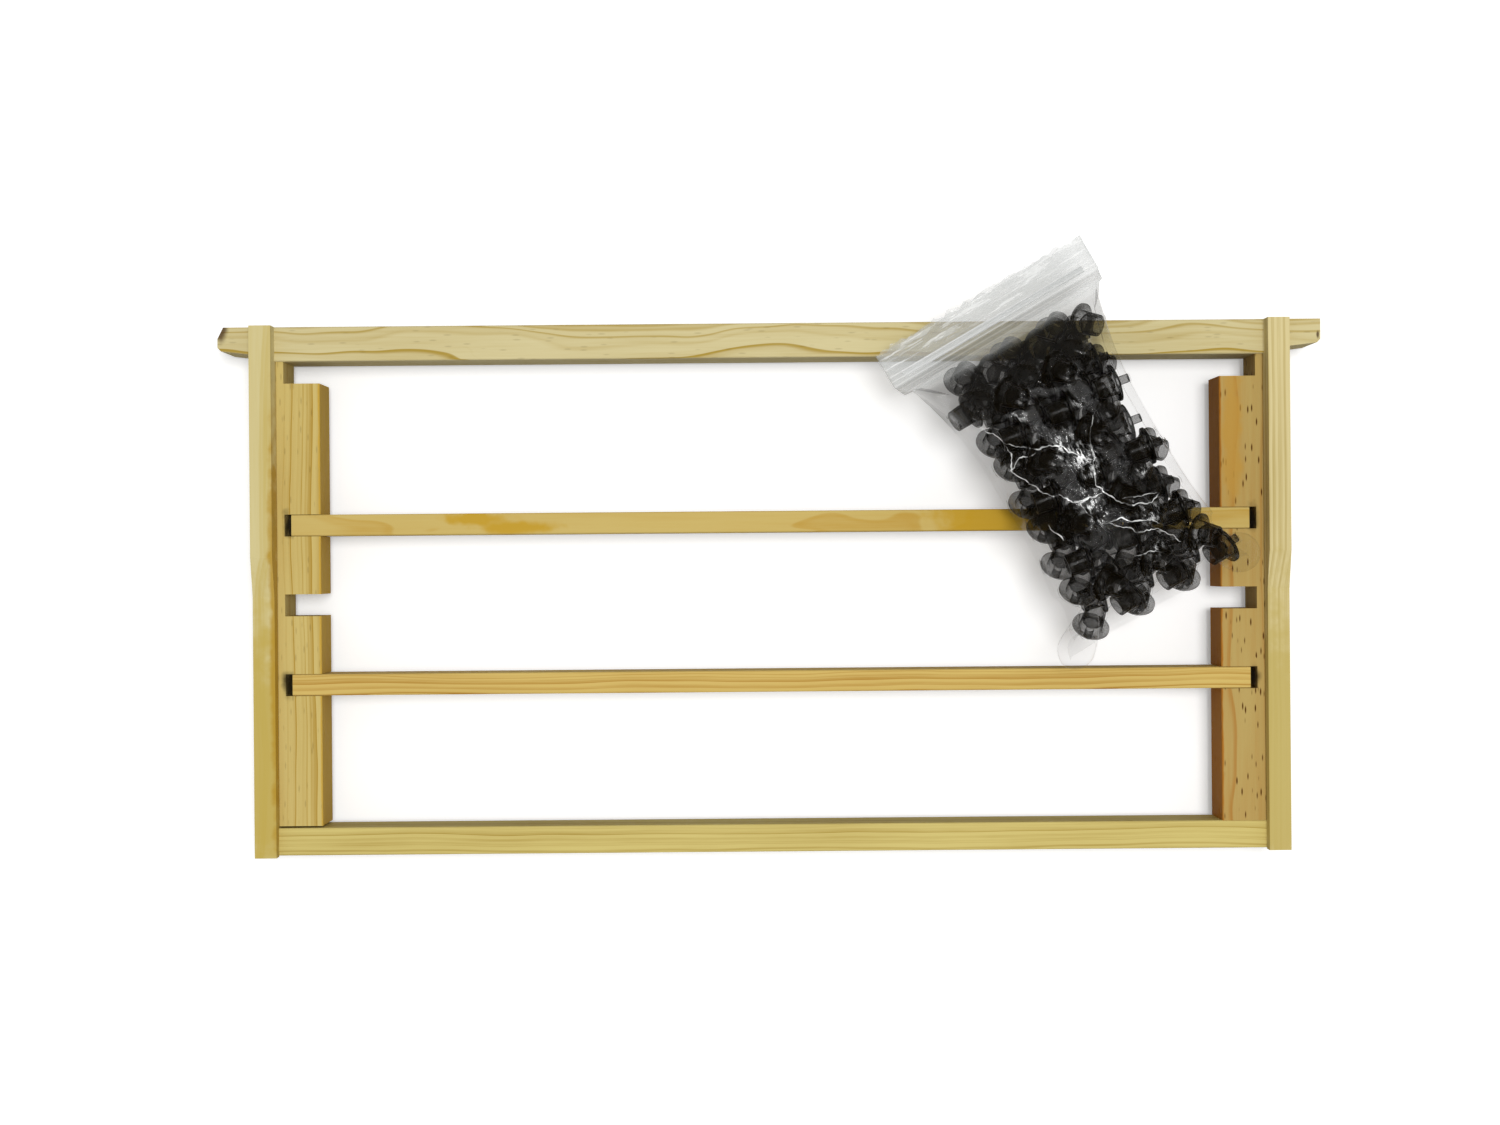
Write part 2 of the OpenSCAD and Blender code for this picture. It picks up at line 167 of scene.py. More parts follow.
def shader_group(name, inputs, outputs):
    """An empty node group with its sockets, and its input and output nodes."""
    tree = bpy.data.node_groups.new(name, "ShaderNodeTree")
    for socket, kind in inputs:
        tree.interface.new_socket(socket, in_out="INPUT", socket_type="NodeSocket" + kind)
    for socket, kind in outputs:
        tree.interface.new_socket(socket, in_out="OUTPUT", socket_type="NodeSocket" + kind)
    return tree, tree.nodes.new("NodeGroupInput").outputs, tree.nodes.new("NodeGroupOutput").inputs


def placed_group(tree, group, **values):
    node = tree.nodes.new("ShaderNodeGroup")
    node.node_tree = group
    for name, value in values.items():
        feed(node.inputs[name.replace("_", " ")], value)
    return node.outputs


def fresh_material(name):
    """A new material with its node tree, its Principled shader's inputs and its coordinates."""
    material = bpy.data.materials.new(name)
    material.use_nodes = True
    tree = material.node_tree
    shader = next(n for n in tree.nodes if n.type == "BSDF_PRINCIPLED")
    return material, tree, shader.inputs, add(tree, "TexCoord").outputs


def dress(material, *names):
    for name in names:
        for slot in nodes[name].material_slots:
            slot.material = material


# Pine: rings round a pith that runs along the stick, in millimetres

MIDDLE = (0.5, 0.5, 0.5)  # of a noise colour
# How dark the wood is across one ring, from its early wood to the end of its late wood
RING_PROFILE = [(0.0, 0.05), (0.35, 0.0), (0.62, 0.3), (0.86, 1.0), (0.93, 0.9), (1.0, 0.05)]


def make_pine_figure():
    tree, given, result = shader_group(
        "pine_figure",
        [("Place", "Vector"), ("Facing", "Vector"), ("Pale wood", "Color"), ("Late wood", "Color"),
         ("Ring width", "Float"), ("Waviness", "Float"), ("Contrast", "Float"), ("Flecks", "Float")],
        [("Colour", "Color"), ("Roughness", "Float"), ("Height", "Float")])
    place = given["Place"]
    # Rings, bent a little along the stick and each one of its own width and darkness
    slow = clouds(tree, stretched(tree, place, 0.011, 0.035))["Color"]
    shift = scaled(tree, vector_calc(tree, "SUBTRACT", slow, MIDDLE), given["Waviness"])
    bent = vector_calc(tree, "MULTIPLY", vector_calc(tree, "ADD", place, shift), (0, 1, 1))
    turns = calc(tree, "DIVIDE", length_of(tree, bent), given["Ring width"])
    uneven = add(tree, "TexNoise", noise_dimensions="1D")
    feed(uneven.inputs["W"], calc(tree, "MULTIPLY", turns, 0.37))
    turns = calc(tree, "ADD", turns, calc(tree, "MULTIPLY", uneven.outputs[0], 1.1))
    late = curve(tree, calc(tree, "FRACT", turns), RING_PROFILE)
    ring = add(tree, "TexWhiteNoise", noise_dimensions="1D")
    feed(ring.inputs["W"], calc(tree, "FLOOR", turns))
    late = calc(tree, "MULTIPLY", late, between(tree, ring.outputs["Value"], 0.0, 1.0, 0.25, 1.0))
    # Fibres, streaks and a slow change of tone
    fibre = clouds(tree, stretched(tree, place, 0.06, 2.2), 3.0, 0.6)[0]
    streak = clouds(tree, stretched(tree, place, 0.018, 0.45))[0]
    tone = clouds(tree, stretched(tree, place, 0.012, 0.06), 1.0)[0]
    amount = calc(tree, "MULTIPLY", late, given["Contrast"])
    for cause, strength in ((streak, 0.42), (fibre, 0.34), (tone, 0.5)):
        swing = calc(tree, "MULTIPLY", calc(tree, "SUBTRACT", cause, 0.5), strength)
        amount = calc(tree, "ADD", amount, swing)
    wood = blended(tree, between(tree, amount, -0.25, 1.0), given["Pale wood"], given["Late wood"])
    # Short resin flecks along the grain
    cells = add(tree, "TexVoronoi")
    feed(cells.inputs["Vector"], stretched(tree, place, 0.13, 0.62))
    feed(cells.inputs["Scale"], 1.0)
    chosen = add(tree, "SeparateColor", cells.outputs["Color"]).outputs[0]
    spot = between(tree, cells.outputs["Distance"], 0.1, 0.3, 1.0, 0.0)
    fleck = calc(tree, "MULTIPLY", spot, calc(tree, "GREATER_THAN", chosen, 0.45))
    fleck = calc(tree, "MULTIPLY", fleck, given["Flecks"])
    dark = blended(tree, 1.0, given["Late wood"], (0.22, 0.17, 0.13, 1), "MULTIPLY")
    wood = blended(tree, fleck, wood, dark)
    # Sawn ends drink light
    end = add(tree, "SeparateXYZ", given["Facing"]).outputs[0]
    end = between(tree, calc(tree, "ABSOLUTE", end), 0.6, 0.9)
    wood = blended(tree, calc(tree, "MULTIPLY", end, 0.4), wood, given["Late wood"])
    feed(result["Colour"], wood)
    dull = calc(tree, "ADD", fibre, calc(tree, "MULTIPLY", late, -0.3))
    feed(result["Roughness"], between(tree, dull, 0.1, 0.9, 0.5, 0.72))
    ridges = calc(tree, "MULTIPLY", calc(tree, "SUBTRACT", late, fleck), 0.6)
    feed(result["Height"], calc(tree, "ADD", fibre, ridges))
    return tree


pine_figure = make_pine_figure()


def laid_stains_and_shade(tree, place, wood, stains_and_shade):
    """The wood with ragged patches laid on it: real stains, and painted shade on some faces. A patch is its
    middle, its reach and its colour.
    """
    ragged = clouds(tree, vector_calc(tree, "MULTIPLY", place, (130, 130, 130)), 3.0)["Color"]
    ragged = vector_calc(tree, "SUBTRACT", ragged, MIDDLE)
    for middle, reach, patch_colour in stains_and_shade:
        away = vector_calc(tree, "SUBTRACT", place, [c / MM for c in middle])
        away = vector_calc(tree, "MULTIPLY", away, [MM / r for r in reach])
        away = length_of(tree, vector_calc(tree, "ADD", away, ragged))
        wood = blended(tree, between(tree, away, 0.4, 1.0, 0.85, 0.0), wood, patch_colour)
    return wood


def pine(name, along_y, pith, pale, late, ring, waviness, contrast, flecks=0.0, stains_and_shade=()):
    """Pine for one stick. The pith is where the middle of the rings lies across the grain."""
    material, tree, shader, coordinates = fresh_material(name)
    turn = -90 if along_y else 0
    figure = placed_group(
        tree, pine_figure, Place=mapped(tree, coordinates["Object"], MM, turn, (0, -pith[0], -pith[1])),
        Facing=mapped(tree, coordinates["Normal"], turn=turn), Pale_wood=pale, Late_wood=late,
        Ring_width=ring, Waviness=waviness, Contrast=contrast, Flecks=flecks)
    feed(shader["Base Color"], laid_stains_and_shade(tree, coordinates["Object"], figure["Colour"], stains_and_shade))
    feed(shader["Roughness"], figure["Roughness"])
    shader["Specular IOR Level"].default_value = 0.03
    feed(shader["Normal"], bumped(tree, figure["Height"], 0.25, 0.0002))
    return material


SLOT_END_OUT = 1.5  # past the end of the cell bar
SLOT_END_Z = 19
SLOT_END_REACH = (4.2, 9, 15.5)
# Painted shade: near-black brown laid where the slots go deep behind the cell bars
slot_shade_colour = colour(16, 8, 4)


def slot_end_shade(side):
    """Painted shade for the ends of the slots behind the cell bars, on the left (-1) or on the right (1)."""
    stains_and_shade = []
    for bar in ("upper_cell_bar", "lower_cell_bar"):
        low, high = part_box(bar)
        middle = (side * (high[0] * MM + SLOT_END_OUT), (low[1] + high[1]) / 2 * MM, SLOT_END_Z)
        stains_and_shade.append((middle, SLOT_END_REACH, slot_shade_colour))
    return stains_and_shade


def inner_side_shade(x, patch_colour):
    """Painted shade on the side of a block that faces the middle of the frame."""
    return ((x, 0, 20), (1, 400, 90), patch_colour)


# Painted shade in the chip at the left lug's end and in the nick at the right lug
split_shade = colour(70, 42, 24)
amber = colour(180, 142, 44)
orange = colour(193, 152, 36)
left_block_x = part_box("left_slot_block")[1][0] * MM
right_block_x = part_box("right_slot_block")[0][0] * MM

dress(pine(
    "top_bar_pine", False, (70, -14), colour(214, 202, 154), colour(172, 144, 62),
    ring=3.4, waviness=11, contrast=1.0, flecks=0.2,
    stains_and_shade=[((-240, 97, 20), (4, 7, 40), split_shade), ((240.2, 91.5, 28), (0.9, 2.4, 4), split_shade)]), "top_bar")
dress(pine(
    "left_end_bar_pine", True, (190, -4), colour(213, 200, 147), colour(194, 170, 86),
    ring=9.0, waviness=9, contrast=0.75,
    # Darker towards the bottom
    stains_and_shade=[((-221, -90, 30), (30, 80, 60), colour(192, 168, 82)),
            ((-216, -40, 30), (3.5, 120, 30), amber)]), "left_end_bar")
dress(pine(
    "right_end_bar_pine", True, (-262, 8), colour(220, 205, 152), colour(172, 148, 78),
    ring=2.1, waviness=3, contrast=0.85,
    # Darker towards the bottom
    stains_and_shade=[((221, -95, 30), (30, 95, 60), colour(192, 172, 98))]), "right_end_bar")
dress(pine(
    "bottom_bar_pine", False, (-96, 4), colour(213, 196, 122), colour(164, 134, 54),
    ring=1.9, waviness=3.5, contrast=0.95), "bottom_bar")
dress(pine(
    "left_block_pine", True, (250, 2), colour(209, 188, 118), colour(174, 138, 52),
    ring=3.6, waviness=5, contrast=0.9, flecks=0.25,
    # Painted shade on the inner face and at the slot ends
    stains_and_shade=[inner_side_shade(left_block_x, colour(206, 166, 66)), *slot_end_shade(-1)]), "left_slot_block")
dress(pine(
    "right_block_pine", True, (-185, -30), colour(187, 162, 98), colour(170, 114, 42),
    ring=4.5, waviness=6, contrast=0.6, flecks=1.0,
    stains_and_shade=[((202.5, 47, 30), (5.5, 48, 40), colour(190, 147, 66)),
            # Painted shade on the inner face and at the slot ends
            inner_side_shade(right_block_x, colour(176, 108, 24)), *slot_end_shade(1)]), "right_slot_block")
dress(pine(
    "upper_cell_bar_pine", False, (4, -20), colour(205, 181, 109), colour(186, 142, 44),
    ring=4.2, waviness=14, contrast=0.9,
    stains_and_shade=[((96, 12, 20), (34, 20, 40), orange), ((-130, 14, 24), (20, 4, 22), orange),
            ((-112, 10, 24), (24, 4, 22), orange)]), "upper_cell_bar")
dress(pine(
    "lower_cell_bar_pine", False, (-40, 6), colour(214, 186, 108), colour(176, 130, 52),
    ring=1.8, waviness=4, contrast=0.85), "lower_cell_bar")

# Nails: bright wire steel, mottled finely


def nail_steel():
    material, tree, shader, coordinates = fresh_material("nail_steel")
    mottle = clouds(tree, mapped(tree, coordinates["Object"], 2500), 3.0, 0.6)[0]
    feed(shader["Base Color"], blended(tree, mottle, colour(150, 150, 152), colour(196, 196, 198)))
    feed(shader["Roughness"], between(tree, mottle, 0.2, 0.8, 0.28, 0.5))
    shader["Metallic"].default_value = 1.0
    return material


dress(nail_steel(), "top_bar_nails", "bottom_bar_nails", "left_block_nails", "right_block_nails")

# Cups: thin smoke-grey plastic, darker where it is seen edge on


def cup_smoke():
    material, tree, shader, coordinates = fresh_material("cup_smoke")
    flow = clouds(tree, mapped(tree, coordinates["Object"], 160))[0]
    feed(shader["Base Color"], blended(tree, flow, colour(12, 9, 4), colour(24, 19, 9)))
    feed(shader["Roughness"], between(tree, flow, 0.3, 0.7, 0.24, 0.36))
    edge_on = add(tree, "LayerWeight", 0.45).outputs["Facing"]
    feed(shader["Alpha"], between(tree, edge_on, 0.25, 0.85, 0.42, 0.98))
    shader["Specular IOR Level"].default_value = 0.06
    return material


cup_rows = sorted(n for n in nodes if n.startswith("cell_cups"))
dress(cup_smoke(), *cup_rows)

# Bag: one clear film lofted round the pile and drawn in until it is taut over the cups
# Its sizes are in millimetres: across the bag, along it from its bottom seam, and up from its side seams

BAG_FILL = 143.5  # to the zip
BAG_LEN = 159.5  # to the edge of the lip
BAG_HALF = 51  # half the width of the flat bag
WAIST_HALF = 37  # half the width of the full bag
CROWN = 42.5  # of the front film over the side seams
SEAM_H = 10  # of the side seams over the sticks
CORNER_R = 8
ZIP_T = 2.4
OVER, UNDER = 150, 70  # steps of the film's mesh across its front and its back
AROUND = OVER + UNDER
BODY_ROWS, LIP_ROWS = 190, 9
ZIP_SPAN = 8  # rows lie close together this far to both sides of the zip
ZIP_ROW_STEP = 0.45
ROW_GAP = 0.4  # between the close rows and the others
# How square the bag's section is: the smaller, the squarer
BEND_ZIP, BEND_FRONT, BEND_BACK = 1 / 7, 2 / 5, 1 / 4
BAG_TURN = 30
BAG_TILT = 1.1242
TILT_LINE = (0, 0.0835, 0.0288)
LIP_MIDDLE = (0.090, 0.024706, 0)  # from the tilt line
bag_place = (
    Matrix.Translation(TILT_LINE) @ Matrix.Rotation(math.radians(BAG_TILT), 4, "X")
    @ Matrix.Translation(LIP_MIDDLE) @ Matrix.Rotation(math.radians(BAG_TURN), 4, "Z")
    @ Matrix.Translation((0, -BAG_LEN / MM, 0)))


def run_length(first, second):
    """Distances along a line of points from its start."""
    return np.concatenate([[0], np.cumsum(np.hypot(np.diff(first), np.diff(second)))])


def crown_height(off):
    """The front film's height, by how far off the bag's middle it is: 0 at the middle and 1 at both ends."""
    return CROWN * (1 - off ** 8)


def bag_rows():
    """Rows of the film's mesh, from the bottom seam: even along its crown and close together at the zip."""
    v = np.linspace(0, BAG_FILL, 2000)
    length = run_length(v, crown_height(np.abs(2 * v / BAG_FILL - 1)))
    body = np.interp(np.linspace(0, length[-1], BODY_ROWS), length, v)
    body = body[body < BAG_FILL - ZIP_SPAN]
    at_zip = np.arange(BAG_FILL - ZIP_SPAN + ROW_GAP, BAG_FILL + ZIP_SPAN, ZIP_ROW_STEP)
    at_lip = np.linspace(BAG_FILL + ZIP_SPAN + ROW_GAP, BAG_LEN, LIP_ROWS)
    return np.concatenate([body, at_zip, at_lip])


def bag_section(v):
    """The bag's outline across one row, from its right seam over the front and back underneath."""
    if v >= BAG_FILL:
        half, over, under, bend_over, bend_under = BAG_HALF, ZIP_T / 2, ZIP_T / 2, BEND_ZIP, BEND_ZIP
    else:
        off = abs(2 * v / BAG_FILL - 1)
        cut = CORNER_R - math.sqrt(CORNER_R ** 2 - (CORNER_R - v) ** 2) if v < CORNER_R else 0
        half = WAIST_HALF + (BAG_HALF - WAIST_HALF) * off ** 3 - cut
        low = ZIP_T / 2 if v > BAG_FILL / 2 else 0
        over, under = max(low, crown_height(off)), max(low, SEAM_H * (1 - off ** 16))
        bend_over, bend_under = BEND_FRONT, BEND_BACK
    sides = []
    turn = np.linspace(0, math.pi, 600)
    for rise, bend, count in ((over, bend_over, OVER), (-under, bend_under, UNDER)):
        x = half * np.sign(np.cos(turn)) * np.abs(np.cos(turn)) ** bend
        z = rise * np.sin(turn).clip(0) ** bend
        length = run_length(x, z)
        want = np.linspace(0, length[-1], count + 1)
        sides.append(np.stack([np.interp(want, length, x), np.interp(want, length, z)], 1))
    return np.concatenate([sides[0], sides[1][::-1][1:-1]])


def cups_in_bag():
    """All the cups as one surface to lay the film on, in the bag's frame."""
    into_bag = bag_place.inverted()
    points, faces = [], []
    for name in cup_rows:
        mesh = nodes[name].data
        first = len(points)
        points += [(into_bag @ v.co) * MM for v in mesh.vertices]
        faces += [[first + i for i in p.vertices] for p in mesh.polygons]
    return BVHTree.FromPolygons(points, faces)


FILM_GAP = 0.9  # from the film to a cup
SEAM_GAP = 0.15  # from the film to the level of the side seams
STICK_GAP = 0.05  # from the back film to the sticks
DRAW_STEPS = 46
PULL_STEPS = 36  # the steps after these only settle the film
PULL, SETTLE = 0.4, 0.05  # moves inwards in one step
SMOOTHING = 0.45
SMOOTHING_PASSES = 3
# How far the film may move: at its sides, how much more where it lies level, and how much more at the bottom
SIDE_REACH, LEVEL_REACH, BOTTOM_REACH = 3, 7, 37
BOTTOM_LEN = 30
ZIP_HOLD, ZIP_EASE = 5, 12  # the film is held this near the zip, and freed over this length below it


def outward(film):
    """The film's outward direction at each of its points."""
    out = np.cross(np.gradient(film, axis=0), np.roll(film, -1, 1) - np.roll(film, 1, 1))
    return out / (np.linalg.norm(out, axis=2, keepdims=True) + 1e-9)


def smoothed(film, free):
    """The film with each point moved towards the middle of its neighbours."""
    around = (np.roll(film, 1, 1) + np.roll(film, -1, 1)) / 2
    along = film.copy()
    along[0] = film[1]
    along[1:-1] = (film[:-2] + film[2:]) / 2
    return film + SMOOTHING * ((around + along) / 2 - film) * free


def within_reach(film, start, reach):
    """The film with no point further from its start than it may move."""
    away = film - start
    far = np.linalg.norm(away, axis=2, keepdims=True)
    return start + away * np.minimum(1, reach / (far + 1e-9))


def part_at_seams(film):
    """Keeps the front film over the side seams and the back film under them, and shuts the bottom seam."""
    film[:, 1:OVER, 2] = np.maximum(film[:, 1:OVER, 2], SEAM_GAP)
    film[:, OVER + 1:, 2] = np.clip(film[:, OVER + 1:, 2], -SEAM_H + STICK_GAP, -SEAM_GAP)
    film[0, :, 2] = 0
    film[0, OVER:, 1] = np.interp(film[0, OVER:, 0], film[0, OVER::-1, 0], film[0, OVER::-1, 1])


def keep_off_cups(film, cups, rows):
    """Moves each point that is too near a cup out to the film's gap."""
    for j in rows:
        for i in range(AROUND):
            x, v, z = film[j, i]
            point = Vector((x, v, z + SEAM_H))
            near, normal, *_ = cups.find_nearest(point, FILM_GAP)
            if near is not None:
                aside = (point - near).normalized() if (point - near).dot(normal) > 0 else normal
                point = near + aside * FILM_GAP
                film[j, i] = (point.x, point.y, point.z - SEAM_H)


def drawn_in(film, rows):
    """The film pulled in towards the cups, drawn taut as it goes and kept off them."""
    cups = cups_in_bag()
    start = film.copy()
    free = np.clip((BAG_FILL - ZIP_HOLD - rows) / ZIP_EASE, 0, 1)[:, None, None]
    free_rows = [j for j in range(1, len(rows)) if free[j] > 0]
    at_bottom = np.clip(1 - rows / BOTTOM_LEN, 0, 1)[:, None, None]
    reach = SIDE_REACH + LEVEL_REACH * np.abs(outward(film)[:, :, 2:]) + BOTTOM_REACH * at_bottom
    for step in range(DRAW_STEPS):
        for _ in range(SMOOTHING_PASSES):
            film = smoothed(film, free)
        film = film - (PULL if step < PULL_STEPS else SETTLE) * outward(film) * free
        film = within_reach(film, start, reach)
        part_at_seams(film)
        keep_off_cups(film, cups, free_rows)
    return film


# Folds in the taut film and patches of painted highlight on it, as places across the bag and along it
FOLDS = [
    [(-32, 113), (-26, 102), (-22, 96), (-16, 92), (-9, 90), (-6, 87), (-4, 82), (2, 77)],
    [(11, 92), (6, 86), (3, 78), (0, 72), (-2, 67), (2, 57), (6, 52), (14, 49), (20, 51)],
    [(-26, 102), (-26, 94), (-29, 90), (-27, 83), (-23, 75), (-17, 70), (-13, 64), (-6, 64), (-1, 62)],
    [(-29, 90), (-22, 92), (-17, 90)],
    [(-6, 64), (-11, 63), (-10, 55)],
    [(0, 72), (0, 79), (-1, 84)],
    [(-5, 50), (0, 49), (6, 44), (11, 43), (13, 39)],
    [(-5, 50), (-1, 46), (3, 41), (10, 38), (14, 34), (18, 27)],
    [(-3, 33), (4, 31), (10, 28)],
    [(-28, 62), (-25, 53)],
    [(5, 57), (12, 53), (19, 51)]]
FOLD_STEP = 0.4
FOLD_W, FOLD_SWELL = 0.24, 0.9
FOLD_TAPER = 8  # steps at each end
FOLD_LIFT = Vector((0, 0, 0.0001))
ABOVE_BAG = 0.1
HIGHLIGHT_PATCHES = [
    ((-6, 86), 7), ((-1, 79), 7), ((-1, 72), 5), ((-9, 62), 6), ((-8, 55), 5), ((11, 44), 5), ((6, 29), 4),
    ((-16, 106), 3), ((8, 109), 3), ((-13, 97), 2), ((17, 61), 3), ((8, 99), 3)]
HIGHLIGHT_PATCH_LOW = 10  # painted highlight patches lie on the film above this height only
noise.seed_set(5)  # noise_vector starts from the clock unless it is seeded


def jagged(spot):
    """A place on a fold, moved a little off its straight run."""
    wide = noise.noise_vector(Vector((*spot / 4, 0)))
    fine = noise.noise_vector(Vector((*spot / 1.2, 5)))
    return spot + 1.3 * wide.to_2d() + 0.45 * fine.to_2d()


def add_folds(bm, fold):
    """Lays each fold on the film as a narrow strip, now wider and now narrower."""
    film = BVHTree.FromBMesh(bm)
    for corners in FOLDS:
        corners = [Vector(c) for c in corners]
        spots = []
        for start, end in zip(corners, corners[1:]):
            count = round((end - start).length / FOLD_STEP)
            spots += [start.lerp(end, k / count) for k in range(count)]
        path = [jagged(p) for p in spots]
        last = len(path) - 1
        strip = bmesh.ops.create_grid(bm, x_segments=last, y_segments=1, size=0.5)["verts"]
        for vert in strip:
            k = round((vert.co.x + 0.5) * last)
            ahead = path[min(k + 1, last)] - path[max(k - 1, 0)]
            wide = FOLD_W + FOLD_SWELL * max(0, noise.noise(Vector((*spots[k] / 3, 9))))
            wide *= min(1, (k + 1) / FOLD_TAPER, (last - k + 1) / FOLD_TAPER)
            spot = path[k] + ahead.orthogonal().normalized() * math.copysign(wide / 2, vert.co.y)
            above = bag_place @ Vector((spot.x / MM, spot.y / MM, ABOVE_BAG))
            vert.co = film.ray_cast(above, Vector((0, 0, -1)))[0] + FOLD_LIFT
            # Marks the strip for the painted white highlight along the fold
            vert[fold] = 1


ZIP_LINES = (-6.6, -4.6, -2.2, 0.2, 2.4, 4.6)  # past the zip's middle
ZIP_LINE_W, ZIP_LINE_H = 0.42, 0.35
ZIP_LINE_FADE = 4  # at each side of the bag
LIP_START = 6  # past the zip's middle
LIP_RUN = 10  # over which its crinkle grows
LIP_WAVE, LIP_RAG = 0.9, 1.6  # up and down, and along the bag
# The lip attribute: haze up to the first level, the zip up to the second, and the loose lip up to 1
HAZE_LEVEL, ZIP_LEVEL = 0.3, 0.6
# Where each of them starts, past the zip's middle, and the run over which it grows
HAZE_START, HAZE_RUN = -34, 12
ZIP_START, ZIP_RUN = -9, 4
LOOSE_START, LOOSE_RUN = 5, 2


def lip_level(past_zip):
    """Where a row lies from the clear film through the haze and the zip to the loose lip."""
    haze = HAZE_LEVEL * min(1, max(0, (past_zip - HAZE_START) / HAZE_RUN))
    at_zip = min(ZIP_LEVEL, HAZE_LEVEL + (ZIP_LEVEL - HAZE_LEVEL) * (past_zip - ZIP_START) / ZIP_RUN)
    loose = min(1, ZIP_LEVEL + (1 - ZIP_LEVEL) * (past_zip - LOOSE_START) / LOOSE_RUN)
    return max(haze, at_zip, loose)


def make_bag():
    rows = bag_rows()
    film = np.zeros((len(rows), AROUND, 3))
    for j, v in enumerate(rows):
        section = bag_section(v)
        film[j, :, 0], film[j, :, 1], film[j, :, 2] = section[:, 0], v, section[:, 1]
    film = drawn_in(film, rows)
    bm = bmesh.new()
    bmesh.ops.create_grid(bm, x_segments=AROUND, y_segments=len(rows) - 1, size=0.5)
    lip, ridge, fold, highlight_patch = (
        bm.verts.layers.float.new(name) for name in ("lip", "ridge", "fold", "highlight_patch"))
    for vert in bm.verts:
        i = round((vert.co.x + 0.5) * AROUND) % AROUND
        j = round((vert.co.y + 0.5) * (len(rows) - 1))
        x, v, z = film[j, i]
        side = 1 if i <= OVER else -1
        past_zip = rows[j] - BAG_FILL
        line = max(math.exp(-((past_zip - p) / ZIP_LINE_W) ** 2) for p in ZIP_LINES)
        fade = max(0, min(1, (BAG_HALF - abs(x)) / ZIP_LINE_FADE))
        lift = side * ZIP_LINE_H * line * fade
        if past_zip > LIP_START:
            share = (past_zip - LIP_START) / LIP_RUN
            z += LIP_WAVE * share * noise.fractal(Vector((x / 24, v / 5, side * 0.15)), 0.8, 2.0, 4)
            v += LIP_RAG * share * noise.fractal(Vector((x / 4, 3.1, side * 0.4)), 0.7, 2.1, 4)
        # Painted highlight: how near each point of the front film lies to a patch
        if side > 0 and z > HIGHLIGHT_PATCH_LOW:
            vert[highlight_patch] = max(math.exp(-(math.dist((x, v), spot) / reach) ** 2) for spot, reach in HIGHLIGHT_PATCHES)
        vert.co = bag_place @ Vector((x / MM, v / MM, (z + lift + SEAM_H) / MM))
        vert[lip] = lip_level(past_zip)
        vert[ridge] = line
    bmesh.ops.remove_doubles(bm, verts=bm.verts[:], dist=1e-6)
    bmesh.ops.recalc_face_normals(bm, faces=bm.faces[:])
    add_folds(bm, fold)
    for face in bm.faces:
        face.smooth = True
    bag = bpy.data.objects.new("zip_bag_film", bpy.data.meshes.new("zip_bag_film"))
    bm.to_mesh(bag.data)
    bm.free()
    scene.collection.objects.link(bag)
    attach(bag, "cup_bag")
    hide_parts("bag_front_film", "bag_back_film")
    return bag


CRUMPLE_SIZE = 20.0


def make_film_crumple():
    """Facets and fine crumple over the film."""
    tree, given, result = shader_group(
        "film_crumple", [("Place", "Vector"), ("Size", "Float")], [("Crumple", "Float")])
    place = scaled(tree, given["Place"], calc(tree, "DIVIDE", 1.0, given["Size"]))
    jag = clouds(tree, vector_calc(tree, "MULTIPLY", place, (3.2, 3.2, 3.2)), 3.0, 0.65)["Color"]
    jag = vector_calc(tree, "MULTIPLY", vector_calc(tree, "SUBTRACT", jag, MIDDLE), (0.34, 0.34, 0.34))
    bent = vector_calc(tree, "ADD", place, jag)
    facets = add(tree, "TexVoronoi", feature="DISTANCE_TO_EDGE")
    feed(facets.inputs["Vector"], bent)
    feed(facets.inputs["Scale"], 1.0)
    edges = between(tree, facets.outputs["Distance"], 0.0, 0.12, 1.0, 0.0)
    fine = clouds(tree, vector_calc(tree, "MULTIPLY", bent, (5, 5, 5)), 3.0, 0.6)[0]
    feed(result["Crumple"], calc(tree, "ADD", fine, edges))
    return tree


film_crumple = make_film_crumple()


